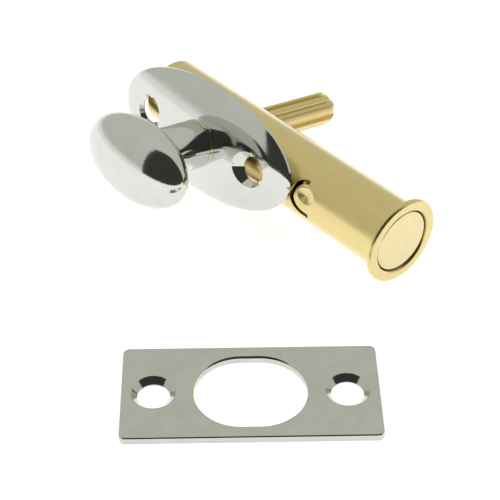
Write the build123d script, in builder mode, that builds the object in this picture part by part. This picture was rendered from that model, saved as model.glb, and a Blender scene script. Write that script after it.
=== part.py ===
from build123d import *
import os
from math import cos, hypot, pi, radians, sin

# Mortise door bolt: a round bolt slides in a flanged barrel and is driven by a
# splined spindle that turns on a rack cut in the bolt's rear half. A knob on an
# oval plate turns the spindle. A keep plate lies beside it.
# Millimetres and degrees. Origin: centre of the flange's front face. +X is the
# way the bolt is thrown, +Z is up as the set lies on a bench.

# Barrel
BARREL_R = 8.0
WALL = 0.75
BORE_R = BARREL_R - WALL
BARREL_L = 77.0
LIP_R = 5.6
FLANGE_R = 9.9
FLANGE_T = 1.4
FLANGE_NOSE = 0.7
FLANGE_HEEL = 0.5
MOUTH_ROUND = 0.8
CROSS_R = 4.35

# Pierced tongue in the barrel wall, with a punched dent
TONGUE_X = -22.9
TONGUE_RISE = 0.45
TONGUE_ROOT_X = -21.3
TONGUE_R = 3.2
SLOT_R = 4.22
TONGUE_BEND = 2.0
DENT_X = -23.0
DENT_ANGLE = 9.3
DENT_DEPTH = 0.8
DENT_R = 3.0

# Bolt and its rack
BOLT_R = 7.15
BOLT_L = 75.3
BOLT_SUNK = 0.35
BOLT_RIM = 0.5
CUT_FRONT_X = -48.9
FLAT_DEPTH_Y = 5.6
FLAT_FRONT_X = -19.0
FLAT_REAR_X = -43.0
PITCH_R = 3.4
LOBES = 8
PITCH = 2 * pi * PITCH_R / LOBES
RACK_FLOOR = -4.16
RACK_TIP = -2.97
TOOTH_HALF = 0.38

# Spindle
SPINDLE_X = -53.7
SPINDLE_R = 4.05
GROOVE_R = 2.85
TAIL = 29.85
TIP_CUT = 1.0
TIP_LONG = 1.7
SPINDLE_IN = 20.0

# Knob and shank
KNOB_Y = 29.64
KNOB_LONG = 15.6
KNOB_TALL = 9.7
KNOB_DEEP = 6.3
KNOB_CLOCK = 2.8
SHANK_R = 5.6
SHOULDER_Y = 13.2
JOURNAL_R = 5.0
JOURNAL_END_Y = 8.65
CLIP_Y = 8.95
CLIP_W = 0.7
CLIP_GROOVE_R = 4.6

# Washer between the shank and the plate, and ring that holds the knob behind it
WASHER_R = 5.5
WASHER_T = 0.34
RING_R = 6.3
RING_T = 0.6

# Oval plate: a domed shell with a solid hub. The oval sits a little off the hub.
PLATE_BACK_Y = 8.6
PLATE_OFF_X = -0.88
PLATE_OFF_RISE = 0.24
PLATE_CLOCK = 3.3
PLATE_A = 28.15
PLATE_B = 13.72
PLATE_EDGE = 0.45
PLATE_DOME = 3.7
POCKET_A = 23.2
POCKET_B = 10.9
POCKET_H = 1.35
HUB_R = 8.6
COLLAR_R = 5.65
COLLAR_Y = 12.8
RECESS_R = 7.2
RECESS_FLOOR_Y = 9.68
PLATE_HOLE_R = 3.0
PLATE_CSK_R = 5.2
PLATE_CSK_Z = 3.8
PLATE_HOLE_X = 17.65

# Keep
KEEP_X, KEEP_Y, KEEP_Z = 4.3, -47.4, -11.3
KEEP_TURN = 49.4
KEEP_L, KEEP_W, KEEP_T = 52.0, 25.4, 1.6
KEEP_CORNER = 1.4
KEEP_SLOT_L, KEEP_SLOT_W = 22.7, 19.1
KEEP_HOLE_X = 19.45
KEEP_HOLE_R = 3.3
KEEP_CSK_R = 4.6

# The set rests on the plate's edge, the flange and the tip of the spindle, so
# the spindle leans about the barrel's axis. The loose plate and the knob lie
# turned a little about the spindle.
LEAN = 12.3
lean = radians(LEAN)
ALONG = Vector(1, 0, 0)
TAILWARD = Vector(0, cos(lean), -sin(lean))
RISE = Vector(0, sin(lean), cos(lean))
SPINDLE_AT = Vector(SPINDLE_X, 0, 0)

# Plane through the barrel's axis, facing the knob side
side = Plane(origin=(0, 0, 0), x_dir=ALONG, z_dir=TAILWARD * -1)
# Plane through the spindle's axis point, facing the knob side
across = Plane(origin=SPINDLE_AT, x_dir=ALONG, z_dir=TAILWARD * -1)
# Plane that holds the spindle's axis: local x is the radius, local y runs tailward
half = Plane(origin=SPINDLE_AT, x_dir=ALONG, z_dir=RISE)
spindle_axis = Axis(SPINDLE_AT, TAILWARD)
# Planes of the plate's back and of the grip's middle, long axis along local x
plate_long = ALONG * cos(radians(PLATE_CLOCK)) + RISE * sin(radians(PLATE_CLOCK))
plate_seat = Plane(
    SPINDLE_AT
    + ALONG * PLATE_OFF_X
    + RISE * PLATE_OFF_RISE
    - TAILWARD * PLATE_BACK_Y,
    plate_long,
    TAILWARD * -1,
)
grip_long = ALONG * cos(radians(KNOB_CLOCK)) + RISE * sin(radians(KNOB_CLOCK))
grip_seat = Plane(SPINDLE_AT - TAILWARD * KNOB_Y, grip_long, TAILWARD * -1)
# Plane along the barrel through the dent's axis: local y points outward
dent_out = TAILWARD * -cos(radians(DENT_ANGLE)) + RISE * sin(radians(DENT_ANGLE))
dent_at = ALONG * DENT_X + dent_out * BARREL_R
dent_plane = Plane(dent_at, ALONG, ALONG.cross(dent_out))


# Tongue: a flap of the barrel's wall, bent inward about its root
with BuildPart() as tongue:
    with BuildSketch(Plane.XZ):
        with Locations((-23.65, BORE_R + WALL / 2)):
            Rectangle(5.7, WALL - 0.14)
    revolve(axis=Axis.X)
    with BuildSketch(side.offset(5)):
        with Locations((TONGUE_X, TONGUE_RISE)):
            Circle(TONGUE_R)
        with Locations((TONGUE_X + 1.05, TONGUE_RISE)):
            Rectangle(2.1, 2 * TONGUE_R)
    extrude(amount=5, mode=Mode.INTERSECT)
crease = Axis(
    ALONG * (TONGUE_ROOT_X + 0.1) + TAILWARD * -(BORE_R + WALL / 2),
    RISE,
)

# Barrel: drawn tube with a flange at the front and a rolled lip at the rear
with BuildPart() as barrel:
    with BuildSketch(Plane.XZ):
        with BuildLine():
            Polyline(
                (0, BORE_R),
                (0, FLANGE_R),
                (-FLANGE_T, FLANGE_R),
                (-FLANGE_T, BARREL_R),
                (-BARREL_L, BARREL_R),
                (-BARREL_L, LIP_R),
                (-BARREL_L + WALL, LIP_R),
                (-BARREL_L + WALL, BORE_R),
                close=True,
            )
        make_face()
    revolve(axis=Axis.X)
    rings = barrel.edges().filter_by(GeomType.CIRCLE)
    fillet(
        rings.filter_by(
            lambda e: abs(e.radius - FLANGE_R) < 0.01 and abs(e.arc_center.X) < 0.01
        ),
        FLANGE_NOSE,
    )
    rings = barrel.edges().filter_by(GeomType.CIRCLE)
    fillet(
        rings.filter_by(
            lambda e: abs(e.radius - FLANGE_R) < 0.01
            and abs(e.arc_center.X + FLANGE_T) < 0.01
        ),
        FLANGE_HEEL,
    )
    rings = barrel.edges().filter_by(GeomType.CIRCLE)
    fillet(
        rings.filter_by(
            lambda e: abs(e.radius - BORE_R) < 0.01 and abs(e.arc_center.X) < 0.01
        ),
        MOUTH_ROUND,
    )
    rings = barrel.edges().filter_by(GeomType.CIRCLE)
    fillet(
        rings.filter_by(
            lambda e: abs(e.radius - BARREL_R) < 0.01
            and abs(e.arc_center.X + BARREL_L) < 0.01
        ),
        0.7,
    )
    # cross holes for the spindle
    with BuildSketch(across):
        Circle(CROSS_R)
    extrude(amount=12, both=True, mode=Mode.SUBTRACT)
    # window round the tongue
    with BuildSketch(side.offset(5)):
        with Locations((TONGUE_X, TONGUE_RISE)):
            Circle(SLOT_R)
        with Locations((TONGUE_X + 5, TONGUE_RISE)):
            Rectangle(10, 12, mode=Mode.SUBTRACT)
        with Locations(((TONGUE_X + TONGUE_ROOT_X) / 2, TONGUE_RISE - SLOT_R / 2)):
            Rectangle(TONGUE_ROOT_X - TONGUE_X, SLOT_R)
    extrude(amount=5, mode=Mode.SUBTRACT)
    add(tongue.part.rotate(crease, -TONGUE_BEND))
    # punched dent: the wall swells inside and is hollowed outside
    with BuildSketch(dent_plane):
        with BuildLine():
            Polyline(
                (0, -DENT_DEPTH - 0.55),
                (DENT_R - 0.5, -0.62),
                (DENT_R - 0.5, -0.4),
                (0, -0.4),
                close=True,
            )
        make_face()
    revolve(axis=Axis(dent_at, dent_out))
    with BuildSketch(dent_plane):
        with BuildLine():
            Polyline(
                (0, -DENT_DEPTH), (DENT_R * 2, DENT_DEPTH), (0, DENT_DEPTH), close=True
            )
        make_face()
    revolve(axis=Axis(dent_at, dent_out), mode=Mode.SUBTRACT)

# Bolt: round bar, its rear half cut down to a rack under the spindle
with BuildPart() as bolt:
    with BuildSketch(Plane.YZ.offset(-BOLT_SUNK)):
        Circle(BOLT_R)
    extrude(amount=BOLT_SUNK - BOLT_L)
    fillet(
        bolt.edges()
        .filter_by(GeomType.CIRCLE)
        .filter_by(lambda e: abs(e.arc_center.X + BOLT_SUNK) < 0.01),
        BOLT_RIM,
    )
    teeth = []
    for k in range(1, -8, -1):
        x = SPINDLE_X + k * PITCH
        teeth += [
            (x + 0.5, RACK_FLOOR),
            (x + TOOTH_HALF, -3.7),
            (x + TOOTH_HALF, -3.1),
            (x + TOOTH_HALF - 0.07, RACK_TIP),
            (x - TOOTH_HALF + 0.07, RACK_TIP),
            (x - TOOTH_HALF, -3.1),
            (x - TOOTH_HALF, -3.7),
            (x - 0.5, RACK_FLOOR),
        ]
    with BuildSketch(side):
        with BuildLine():
            Polyline(
                (-80, 9),
                (CUT_FRONT_X, 9),
                (CUT_FRONT_X, RACK_FLOOR),
                *teeth,
                (-80, RACK_FLOOR),
                close=True,
            )
        make_face()
    extrude(amount=9, both=True, mode=Mode.SUBTRACT)
    # flat in which the tongue runs, and which stops the bolt at full throw
    with BuildSketch(side.offset(FLAT_DEPTH_Y)):
        with Locations(((FLAT_FRONT_X + FLAT_REAR_X) / 2, 0)):
            Rectangle(FLAT_FRONT_X - FLAT_REAR_X, 16)
    extrude(amount=3, mode=Mode.SUBTRACT)

# Spindle: bar with eight broad lobes, the pinion of the rack
with BuildPart() as spindle:
    with BuildSketch(across.offset(SPINDLE_IN)) as lobes:
        Circle(SPINDLE_R)
        with PolarLocations(0, LOBES):
            Polygon(
                (GROOVE_R, -0.45),
                (SPINDLE_R + 0.3, -0.95),
                (SPINDLE_R + 0.3, 0.95),
                (GROOVE_R, 0.45),
                align=None,
                mode=Mode.SUBTRACT,
            )
        fillet(
            lobes.vertices().filter_by(lambda v: hypot(v.X, v.Y) > SPINDLE_R - 0.1),
            0.35,
        )
        fillet(
            lobes.vertices().filter_by(lambda v: hypot(v.X, v.Y) < GROOVE_R + 0.1),
            0.25,
        )
    extrude(amount=-(SPINDLE_IN + TAIL))
    with BuildSketch(half):
        with BuildLine():
            Polyline(
                (SPINDLE_R - 1.3 * TIP_CUT, TAIL + 0.3 * TIP_LONG),
                (SPINDLE_R + 0.3 * TIP_CUT, TAIL + 0.3 * TIP_LONG),
                (SPINDLE_R + 0.3 * TIP_CUT, TAIL - 1.3 * TIP_LONG),
                close=True,
            )
        make_face()
    revolve(axis=spindle_axis, mode=Mode.SUBTRACT)

# Grip of the knob: an oval body, less deep than tall
with BuildPart() as grip:
    curve = [
        (KNOB_LONG * cos(radians(t)), KNOB_TALL * sin(radians(t)))
        for t in (1.5, 12, 25, 40, 55, 72, 90, 108, 125, 140, 155, 168, 178.5)
    ]
    with BuildSketch(Plane.XY):
        with BuildLine():
            Spline(*curve)
            Polyline(curve[-1], (curve[-1][0], 0), (curve[0][0], 0), curve[0])
        make_face()
    revolve(axis=Axis.X)
    scale(by=(1, 1, KNOB_DEEP / KNOB_TALL))

# Knob: the grip on a round shank, with a journal that runs in the plate
with BuildPart() as knob:
    with BuildSketch(half):
        with BuildLine():
            Polyline(
                (SPINDLE_R, -JOURNAL_END_Y),
                (JOURNAL_R, -JOURNAL_END_Y),
                (JOURNAL_R, -CLIP_Y),
                (CLIP_GROOVE_R, -CLIP_Y),
                (CLIP_GROOVE_R, -CLIP_Y - CLIP_W),
                (JOURNAL_R, -CLIP_Y - CLIP_W),
                (JOURNAL_R, -SHOULDER_Y),
                (SHANK_R - 0.15, -SHOULDER_Y),
                (SHANK_R, -SHOULDER_Y - 0.15),
                (SHANK_R, -28),
                (0, -28),
                (0, -SPINDLE_IN),
                (SPINDLE_R, -SPINDLE_IN),
                close=True,
            )
        make_face()
    revolve(axis=spindle_axis)
    add(grip_seat.location * grip.part)

# Outside of the oval plate
with BuildPart() as dome:
    with BuildSketch(Plane.XZ):
        with BuildLine():
            crown = [
                (
                    PLATE_A * sin(radians(t)),
                    PLATE_EDGE + PLATE_DOME * max(cos(radians(t)), 0) ** 1.5,
                )
                for t in (0, 10, 20, 30, 40, 50, 60, 68, 75, 80, 85, 90)
            ]
            Polyline(crown[0], (0, 0), (PLATE_A, 0), crown[-1])
            Spline(*crown)
        make_face()
    revolve(axis=Axis.Z)
    scale(by=(1, PLATE_B / PLATE_A, 1))

# Oval plate: domed shell, a hub round the journal and two countersunk holes
with BuildPart() as plate:
    add(plate_seat.location * dome.part)
    # hollow back, with the hub left standing
    hub = plate_seat.to_local_coords(SPINDLE_AT - TAILWARD * PLATE_BACK_Y)
    with BuildSketch(plate_seat):
        Ellipse(POCKET_A, POCKET_B)
        with Locations((hub.X, hub.Y)):
            Circle(HUB_R, mode=Mode.SUBTRACT)
    extrude(amount=POCKET_H, mode=Mode.SUBTRACT)
    with BuildSketch(across.offset(PLATE_BACK_Y + 2)):
        Circle(COLLAR_R)
    extrude(amount=COLLAR_Y - PLATE_BACK_Y - 2)
    chamfer(
        plate.edges().filter_by(
            lambda e: abs(across.to_local_coords(e @ 0.3).Z - COLLAR_Y) < 0.01
        ),
        0.12,
    )
    with BuildSketch(across.offset(PLATE_BACK_Y)):
        Circle(RECESS_R)
    extrude(amount=RECESS_FLOOR_Y - PLATE_BACK_Y, mode=Mode.SUBTRACT)
    with BuildSketch(across.offset(PLATE_BACK_Y)):
        Circle(JOURNAL_R + 0.06)
    extrude(amount=6, mode=Mode.SUBTRACT)
    with Locations(plate_seat.offset(PLATE_CSK_Z)):
        with Locations((PLATE_HOLE_X, 0), (-PLATE_HOLE_X, 0)):
            CounterSinkHole(
                radius=PLATE_HOLE_R,
                counter_sink_radius=PLATE_CSK_R,
                depth=6,
                counter_sink_angle=90,
            )

# Thrust washer between the shank's shoulder and the plate's collar
with BuildPart() as washer:
    with BuildSketch(across.offset(COLLAR_Y + 0.03)):
        Circle(WASHER_R)
        Circle(JOURNAL_R + 0.06, mode=Mode.SUBTRACT)
    extrude(amount=WASHER_T)

# Retaining ring in the journal's groove
with BuildPart() as ring:
    with BuildSketch(across.offset(CLIP_Y + (CLIP_W - RING_T) / 2)):
        Circle(RING_R)
        Circle(CLIP_GROOVE_R + 0.03, mode=Mode.SUBTRACT)
        with Locations((0, -RING_R)):
            Rectangle(3.2, RING_R, mode=Mode.SUBTRACT)
    extrude(amount=RING_T)

# Keep: flat plate with an oblong opening for the bolt and two countersunk holes
with BuildPart() as keep:
    bench = Plane(
        origin=(KEEP_X, KEEP_Y, KEEP_Z),
        x_dir=(cos(radians(KEEP_TURN)), sin(radians(KEEP_TURN)), 0),
        z_dir=(0, 0, 1),
    )
    with BuildSketch(bench):
        RectangleRounded(KEEP_L, KEEP_W, KEEP_CORNER)
        SlotOverall(KEEP_SLOT_L, KEEP_SLOT_W, mode=Mode.SUBTRACT)
    extrude(amount=KEEP_T)
    fillet(keep.faces().sort_by(Axis.Z)[-1].inner_wires()[0].edges(), 0.7)
    fillet(keep.faces().sort_by(Axis.Z)[-1].outer_wire().edges(), 0.4)
    with Locations(bench.offset(KEEP_T)):
        with Locations((KEEP_HOLE_X, 0), (-KEEP_HOLE_X, 0)):
            CounterSinkHole(
                radius=KEEP_HOLE_R,
                counter_sink_radius=KEEP_CSK_R,
                depth=4,
                counter_sink_angle=90,
            )
    fillet(
        keep.edges()
        .filter_by(GeomType.CIRCLE)
        .filter_by(lambda e: abs(e.radius - KEEP_CSK_R) < 0.01),
        0.5,
    )

os.makedirs("parts", exist_ok=True)
barrel.part.label = "barrel"
export_step(barrel.part, "parts/barrel.step")
bolt.part.label = "bolt"
export_step(bolt.part, "parts/bolt.step")
spindle.part.label = "spindle"
export_step(spindle.part, "parts/spindle.step")
knob.part.label = "knob"
export_step(knob.part, "parts/knob.step")
plate.part.label = "plate"
export_step(plate.part, "parts/plate.step")
washer.part.label = "thrust_washer"
export_step(washer.part, "parts/thrust_washer.step")
ring.part.label = "retaining_ring"
export_step(ring.part, "parts/retaining_ring.step")
keep.part.label = "keep"
export_step(keep.part, "parts/keep.step")
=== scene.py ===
import math

import bpy
from mathutils import Matrix, Vector


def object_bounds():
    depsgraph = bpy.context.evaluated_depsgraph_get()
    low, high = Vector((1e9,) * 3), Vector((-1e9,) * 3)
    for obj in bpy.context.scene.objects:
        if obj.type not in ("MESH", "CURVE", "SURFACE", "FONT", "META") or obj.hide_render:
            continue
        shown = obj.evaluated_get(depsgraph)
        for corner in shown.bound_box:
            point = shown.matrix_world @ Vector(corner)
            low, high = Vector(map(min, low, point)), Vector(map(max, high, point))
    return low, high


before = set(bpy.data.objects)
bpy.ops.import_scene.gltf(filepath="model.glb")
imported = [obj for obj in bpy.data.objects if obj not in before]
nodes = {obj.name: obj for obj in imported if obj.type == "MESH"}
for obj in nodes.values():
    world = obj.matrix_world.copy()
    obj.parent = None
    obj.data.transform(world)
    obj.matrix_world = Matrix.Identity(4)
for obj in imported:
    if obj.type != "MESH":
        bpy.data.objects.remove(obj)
cad_box = [list(c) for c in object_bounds()]
scene = bpy.context.scene

LEAN = math.radians(12.3)
FLOOR_Z = min(c[2] for c in cad_box) - 0.00002

# ---------------------------------------------------------------- node helpers


class Tree:
    """Short names for building one material or world node tree."""

    def __init__(self, owner):
        owner.use_nodes = True
        self.t = owner.node_tree
        self.t.nodes.clear()

    def add(self, kind, **settings):
        n = self.t.nodes.new(kind)
        for k, v in settings.items():
            setattr(n, k, v)
        return n

    def link(self, a, b):
        self.t.links.new(a, b)

    def put(self, socket, value):
        if hasattr(value, "is_output"):
            self.link(value, socket)
        else:
            socket.default_value = value

    def math(self, op, a, b=None, clamp=False):
        n = self.add("ShaderNodeMath", operation=op, use_clamp=clamp)
        self.put(n.inputs[0], a)
        if b is not None:
            self.put(n.inputs[1], b)
        return n.outputs[0]

    def span(self, value, lo, hi, to_lo, to_hi, smooth=False):
        n = self.add("ShaderNodeMapRange", clamp=True)
        if smooth:
            n.interpolation_type = "SMOOTHSTEP"
        self.put(n.inputs["Value"], value)
        n.inputs["From Min"].default_value = lo
        n.inputs["From Max"].default_value = hi
        n.inputs["To Min"].default_value = to_lo
        n.inputs["To Max"].default_value = to_hi
        return n.outputs[0]

    def mix(self, fac, a, b):
        n = self.add("ShaderNodeMix", data_type="RGBA")
        self.put(n.inputs[0], fac)
        self.put(n.inputs[6], a)
        self.put(n.inputs[7], b)
        return n.outputs[2]

    def place(self, scale=(1, 1, 1), turn=(0, 0, 0)):
        c = self.add("ShaderNodeTexCoord")
        m = self.add("ShaderNodeMapping", vector_type="TEXTURE")
        m.inputs["Rotation"].default_value = turn
        m2 = self.add("ShaderNodeMapping", vector_type="POINT")
        m2.inputs["Scale"].default_value = scale
        self.link(c.outputs["Object"], m.inputs["Vector"])
        self.link(m.outputs["Vector"], m2.inputs["Vector"])
        return m2.outputs["Vector"]

    def noise(self, vector, scale, detail=2.0, rough=0.5):
        n = self.add("ShaderNodeTexNoise")
        self.link(vector, n.inputs["Vector"])
        n.inputs["Scale"].default_value = scale
        n.inputs["Detail"].default_value = detail
        n.inputs["Roughness"].default_value = rough
        return n.outputs["Fac"]

    def bump(self, height, distance, strength=1.0, under=None):
        n = self.add("ShaderNodeBump")
        n.inputs["Strength"].default_value = strength
        n.inputs["Distance"].default_value = distance
        self.link(height, n.inputs["Height"])
        if under is not None:
            self.link(under, n.inputs["Normal"])
        return n.outputs["Normal"]

    def metal(self, colour, roughness, normal=None, lacquer=0.0):
        b = self.add("ShaderNodeBsdfPrincipled")
        b.inputs["Metallic"].default_value = 1.0
        b.inputs["Coat Weight"].default_value = lacquer
        b.inputs["Coat Roughness"].default_value = 0.12
        self.put(b.inputs["Base Color"], colour)
        self.put(b.inputs["Roughness"], roughness)
        if normal is not None:
            self.link(normal, b.inputs["Normal"])
        o = self.add("ShaderNodeOutputMaterial")
        self.link(b.outputs[0], o.inputs["Surface"])


def chrome(name, low, high, rough, turn=(0, 0, 0), lines=(1, 1, 1)):
    """Polished chrome: a faint haze, very fine polishing lines and a slow ripple."""
    m = bpy.data.materials.new(name)
    t = Tree(m)
    at = t.place()
    along = t.place(lines, turn)
    haze = t.noise(at, 260.0, 4.0, 0.6)
    polish = t.noise(along, 900.0, 3.0, 0.6)
    ripple = t.noise(at, 90.0, 1.0, 0.4)
    colour = t.mix(t.span(haze, 0.35, 0.65, 0, 1), low, high)
    r = t.math(
        "ADD",
        t.span(haze, 0.3, 0.7, rough[0], rough[1]),
        t.span(polish, 0.4, 0.8, 0.0, 0.015),
    )
    n = t.bump(ripple, 0.00004, 0.25)
    n = t.bump(polish, 0.0000012, 0.6, n)
    t.metal(colour, r, n)
    return m


def drawn_brass(name, low, high, rough, turn, lines, tint, bore=None):
    """Drawn brass: lines along the draw, blotches of tone, a soft gloss.

    With a bore radius, the inside of the tube about the X axis gets painted shade: it is
    coloured near-black brass, except around the dent."""
    m = bpy.data.materials.new(name)
    t = Tree(m)
    along = t.place(lines, turn)
    at = t.place()
    streak = t.noise(along, 1.0, 4.0, 0.65)
    blotch = t.noise(at, 140.0, 3.0, 0.55)
    base = t.mix(t.span(streak, 0.3, 0.7, 0, 1), low, high)
    colour = t.mix(t.span(blotch, 0.52, 0.78, 0, 0.35), base, tint)
    r = t.math(
        "ADD",
        t.span(streak, 0.3, 0.7, rough[0], rough[1]),
        t.span(blotch, 0.4, 0.8, 0.0, 0.05),
    )
    # Painted shade: the bore's inner wall is darkened to near-black brass, kept off the
    # dent near the tongue
    if bore is not None:
        c = t.add("ShaderNodeTexCoord")
        s = t.add("ShaderNodeSeparateXYZ")
        t.link(c.outputs["Object"], s.inputs[0])
        from_axis = t.math(
            "SQRT",
            t.math(
                "ADD",
                t.math("MULTIPLY", s.outputs[1], s.outputs[1]),
                t.math("MULTIPLY", s.outputs[2], s.outputs[2]),
            ),
        )
        off_dent = t.math("ABSOLUTE", t.math("ADD", s.outputs[0], 0.023))
        bore_painted_shade = t.math(
            "MULTIPLY",
            t.span(from_axis, bore + 0.00005, bore + 0.0003, 1, 0, True),
            t.span(off_dent, 0.0042, 0.0046, 0, 1),
        )
        # Painted shade mixed into the bore's colour
        colour = t.mix(bore_painted_shade, colour, (0.15, 0.105, 0.035, 1))
    n = t.bump(streak, 0.000004, 0.7)
    t.metal(colour, r, n, 0.9)
    return m


def turned_brass(name, low, high, rough):
    """Brass bar turned on its end: fine rings about the barrel's axis."""
    m = bpy.data.materials.new(name)
    t = Tree(m)
    c = t.add("ShaderNodeTexCoord")
    s = t.add("ShaderNodeSeparateXYZ")
    t.link(c.outputs["Object"], s.inputs[0])
    r = t.math(
        "SQRT",
        t.math(
            "ADD",
            t.math("MULTIPLY", s.outputs[1], s.outputs[1]),
            t.math("MULTIPLY", s.outputs[2], s.outputs[2]),
        ),
    )
    at = t.place()
    grain = t.noise(at, 700.0, 3.0, 0.6)
    rings = t.math(
        "SINE",
        t.math(
            "ADD", t.math("MULTIPLY", r, 26000.0), t.math("MULTIPLY", grain, 5.0)
        ),
    )
    colour = t.mix(t.span(grain, 0.3, 0.7, 0, 1), low, high)
    rough_out = t.span(grain, 0.3, 0.7, rough[0], rough[1])
    n = t.bump(rings, 0.0000012, 0.6)
    n = t.bump(grain, 0.000006, 0.4, n)
    t.metal(colour, rough_out, n)
    return m


def plain_steel(name):
    m = bpy.data.materials.new(name)
    t = Tree(m)
    at = t.place()
    grain = t.noise(at, 1500.0, 4.0, 0.6)
    colour = t.mix(
        t.span(grain, 0.3, 0.7, 0, 1), (0.42, 0.42, 0.41, 1), (0.55, 0.55, 0.54, 1)
    )
    t.metal(
        colour, t.span(grain, 0.3, 0.7, 0.22, 0.36), t.bump(grain, 0.000005, 0.6)
    )
    return m


def dress(node, material):
    mesh = nodes[node].data
    mesh.materials.clear()
    mesh.materials.append(material)
    mesh.polygons.foreach_set("material_index", [0] * len(mesh.polygons))


# ------------------------------------------------------------------- materials

SPIN = (-LEAN, 0, 0)
dress(
    "knob",
    chrome("knob_chrome", (0.66, 0.665, 0.645, 1), (0.695, 0.70, 0.68, 1), (0.07, 0.10)),
)
dress(
    "plate",
    chrome(
        "plate_chrome", (0.66, 0.665, 0.645, 1), (0.695, 0.70, 0.68, 1), (0.06, 0.09)
    ),
)
dress(
    "keep",
    chrome(
        "keep_chrome",
        (0.60, 0.605, 0.57, 1),
        (0.64, 0.645, 0.61, 1),
        (0.08, 0.12),
        (0, 0, math.radians(49.4)),
        (0.15, 1, 1),
    ),
)
# Barrel: drawn brass, with painted shade inside the bore
dress(
    "barrel",
    drawn_brass(
        "barrel_brass",
        (0.76, 0.605, 0.245, 1),
        (0.82, 0.665, 0.295, 1),
        (0.25, 0.31),
        (0, 0, 0),
        (40, 2600, 2600),
        (0.70, 0.545, 0.22, 1),
        0.00725,
    ),
)
dress(
    "spindle",
    drawn_brass(
        "spindle_brass",
        (0.72, 0.565, 0.24, 1),
        (0.79, 0.635, 0.295, 1),
        (0.24, 0.32),
        SPIN,
        (2600, 50, 2600),
        (0.62, 0.45, 0.15, 1),
    ),
)
dress(
    "bolt",
    turned_brass(
        "bolt_brass", (0.775, 0.65, 0.37, 1), (0.825, 0.71, 0.43, 1), (0.16, 0.24)
    ),
)
dress(
    "thrust_washer",
    drawn_brass(
        "washer_brass",
        (0.74, 0.575, 0.235, 1),
        (0.80, 0.635, 0.285, 1),
        (0.16, 0.24),
        SPIN,
        (900, 900, 900),
        (0.66, 0.49, 0.19, 1),
    ),
)
dress("retaining_ring", plain_steel("ring_steel"))

# ----------------------------------------------------------------------- stage

bpy.ops.mesh.primitive_circle_add(
    vertices=96, radius=0.42, fill_type="NGON", location=(0, 0, FLOOR_Z)
)
floor = bpy.context.active_object
floor.name = "floor"
fm = bpy.data.materials.new("floor_white")
t = Tree(fm)
glow = t.add("ShaderNodeEmission")
glow.inputs["Color"].default_value = (1.0, 1.0, 0.985, 1)
where = t.add("ShaderNodeTexCoord")
reach = t.add("ShaderNodeVectorMath", operation="LENGTH")
t.link(where.outputs["Object"], reach.inputs[0])
t.link(
    t.span(reach.outputs["Value"], 0.22, 0.42, 0.84, 0.60, True),
    glow.inputs["Strength"],
)
cloth = t.add("ShaderNodeBsdfDiffuse")
cloth.inputs["Color"].default_value = (0.8, 0.8, 0.79, 1)
both = t.add("ShaderNodeAddShader")
t.link(glow.outputs[0], both.inputs[0])
t.link(cloth.outputs[0], both.inputs[1])
clear = t.add("ShaderNodeBsdfTransparent")
which = t.add("ShaderNodeMixShader")
geo = t.add("ShaderNodeNewGeometry")
t.link(geo.outputs["Backfacing"], which.inputs[0])
t.link(both.outputs[0], which.inputs[1])
t.link(clear.outputs[0], which.inputs[2])
out = t.add("ShaderNodeOutputMaterial")
t.link(which.outputs[0], out.inputs["Surface"])
floor.data.materials.append(fm)

# A pale tent all round, open and dark on one side
world = bpy.data.worlds.new("tent")
scene.world = world
t = Tree(world)
c = t.add("ShaderNodeTexCoord")
OPEN = math.radians(55.0)
front = t.add("ShaderNodeVectorMath", operation="DOT_PRODUCT")
front.inputs[1].default_value = (math.sin(OPEN), -math.cos(OPEN), 0)
aside = t.add("ShaderNodeVectorMath", operation="DOT_PRODUCT")
aside.inputs[1].default_value = (math.cos(OPEN), math.sin(OPEN), 0)
xyz = t.add("ShaderNodeSeparateXYZ")
for n in (front.inputs[0], aside.inputs[0], xyz.inputs[0]):
    t.link(c.outputs["Generated"], n)
forward, side, up = front.outputs["Value"], aside.outputs["Value"], xyz.outputs[2]
wide = t.math("SUBTRACT", t.math("MULTIPLY", forward, 3.08), t.math("ABSOLUTE", side))
tall = t.math("SUBTRACT", t.math("MULTIPLY", forward, 7.5), up)
mask = t.math(
    "MULTIPLY",
    t.span(wide, -0.04, 0.06, 0, 1, True),
    t.span(tall, -0.05, 0.12, 0, 1, True),
)
wall = t.mix(
    t.span(up, -0.05, 0.9, 0, 1), (0.60, 0.615, 0.55, 1), (0.64, 0.655, 0.585, 1)
)
sweep = t.mix(t.span(up, -0.04, 0.10, 0, 1, True), (0.96, 0.965, 0.93, 1), wall)
colour = t.mix(mask, sweep, (0.045, 0.047, 0.042, 1))
sky = t.add("ShaderNodeBackground")
t.link(colour, sky.inputs["Color"])
o = t.add("ShaderNodeOutputWorld")
t.link(sky.outputs[0], o.inputs["Surface"])

# ---------------------------------------------------------------------- camera

data = bpy.data.cameras.new("camera")
data.sensor_width = 36.0
data.sensor_fit = "HORIZONTAL"
data.lens = 36.0 * 1570.84 / 500.0
data.clip_start, data.clip_end = 0.01, 10.0
camera = bpy.data.objects.new("camera", data)
scene.collection.objects.link(camera)
ahead = Vector((-0.57183, 0.51105, -0.64174)).normalized()
right = ahead.cross(Vector((-0.47855, 0.42757, 0.76692))).normalized()
up_ = right.cross(ahead)
turn = Matrix((right, up_, -ahead)).transposed()
camera.matrix_world = Matrix.Translation((0.170486, -0.196094, 0.213497)) @ turn.to_4x4()
scene.camera = camera

scene.view_settings.view_transform = "Standard"
scene.view_settings.look = "None"
